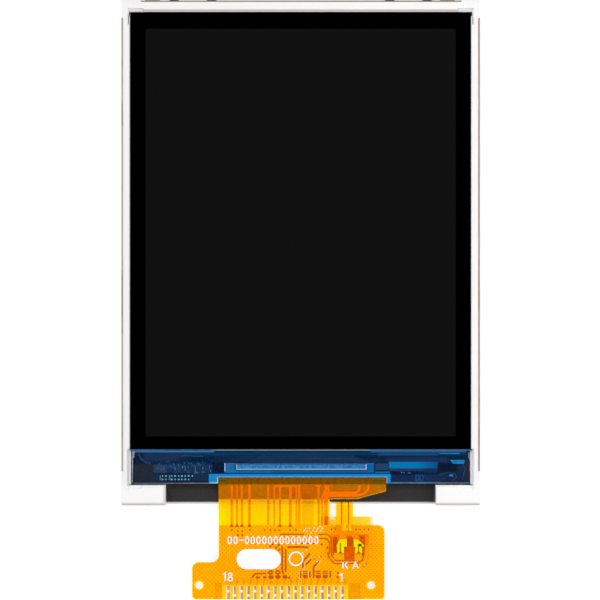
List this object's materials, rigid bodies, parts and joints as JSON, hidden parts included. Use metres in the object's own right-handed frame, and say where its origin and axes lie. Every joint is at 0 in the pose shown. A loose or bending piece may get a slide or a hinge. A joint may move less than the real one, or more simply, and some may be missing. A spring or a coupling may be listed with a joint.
{
  "type": "liquid crystal display module",
  "caption": "Small portrait colour display module: glass cell in a white moulded frame with a steel back tray, backlight inside, and an amber flex circuit with solder fingers.",
  "frame": {"origin": "middle of the steel tray's back face, under the middle of the module outline", "axes": "+X to the right and +Y up the picture, seen from the front; +Z out of the screen"},
  "size_m": [0.0428, 0.0714, 0.0024],
  "materials": {
    "white_frame": "satin",
    "steel": "satin",
    "reflector_film": "gloss",
    "clear_acrylic": "gloss",
    "diffuser_film": "matte",
    "prism_film": "satin",
    "amber_film": "satin",
    "copper_foil": "satin",
    "tape_adhesive": "satin",
    "lamp_housing": "matte",
    "lamp_phosphor": "satin",
    "black_tape": "matte",
    "polarizer_film": "gloss",
    "glass_sheet": "gloss",
    "seal_glue": "satin",
    "liquid_crystal_layer": "gloss",
    "bond_film": "satin",
    "chip_silicon": "gloss",
    "blue_coating": "gloss",
    "tinned_copper": "satin",
    "solder": "satin"
  },
  "bodies": {
    "root": {"light_frame": "white_frame", "back_shell": "steel", "reflector": "reflector_film", "light_guide": "clear_acrylic", "diffuser": "diffuser_film", "lower_prism_film": "prism_film", "upper_prism_film": "prism_film", "led_flex": "amber_film", "led_flex_cover": "amber_film", "flex_base": "amber_film", "flex_front_cover": "amber_film", "flex_rear_cover": "amber_film", "joint_cover_tape": "amber_film", "led_flex_copper": "copper_foil", "flex_front_copper": "copper_foil", "flex_rear_copper": "copper_foil", "led_tape": "tape_adhesive", "led_1": "lamp_housing", "led_2": "lamp_housing", "led_3": "lamp_housing", "led_4": "lamp_housing", "led_window_1": "lamp_phosphor", "led_window_2": "lamp_phosphor", "led_window_3": "lamp_phosphor", "led_window_4": "lamp_phosphor", "shading_tape": "black_tape", "rear_polarizer": "polarizer_film", "front_polarizer": "polarizer_film", "rear_glass": "glass_sheet", "front_glass": "glass_sheet", "cell_seal": "seal_glue", "liquid_crystal": "liquid_crystal_layer", "ic_bond_film": "bond_film", "flex_bond_film": "bond_film", "driver_ic": "chip_silicon", "ledge_coating": "blue_coating", "solder_fingers": "tinned_copper", "solder_joint_k": "solder", "solder_joint_a": "solder"}
  },
  "joints": []
}
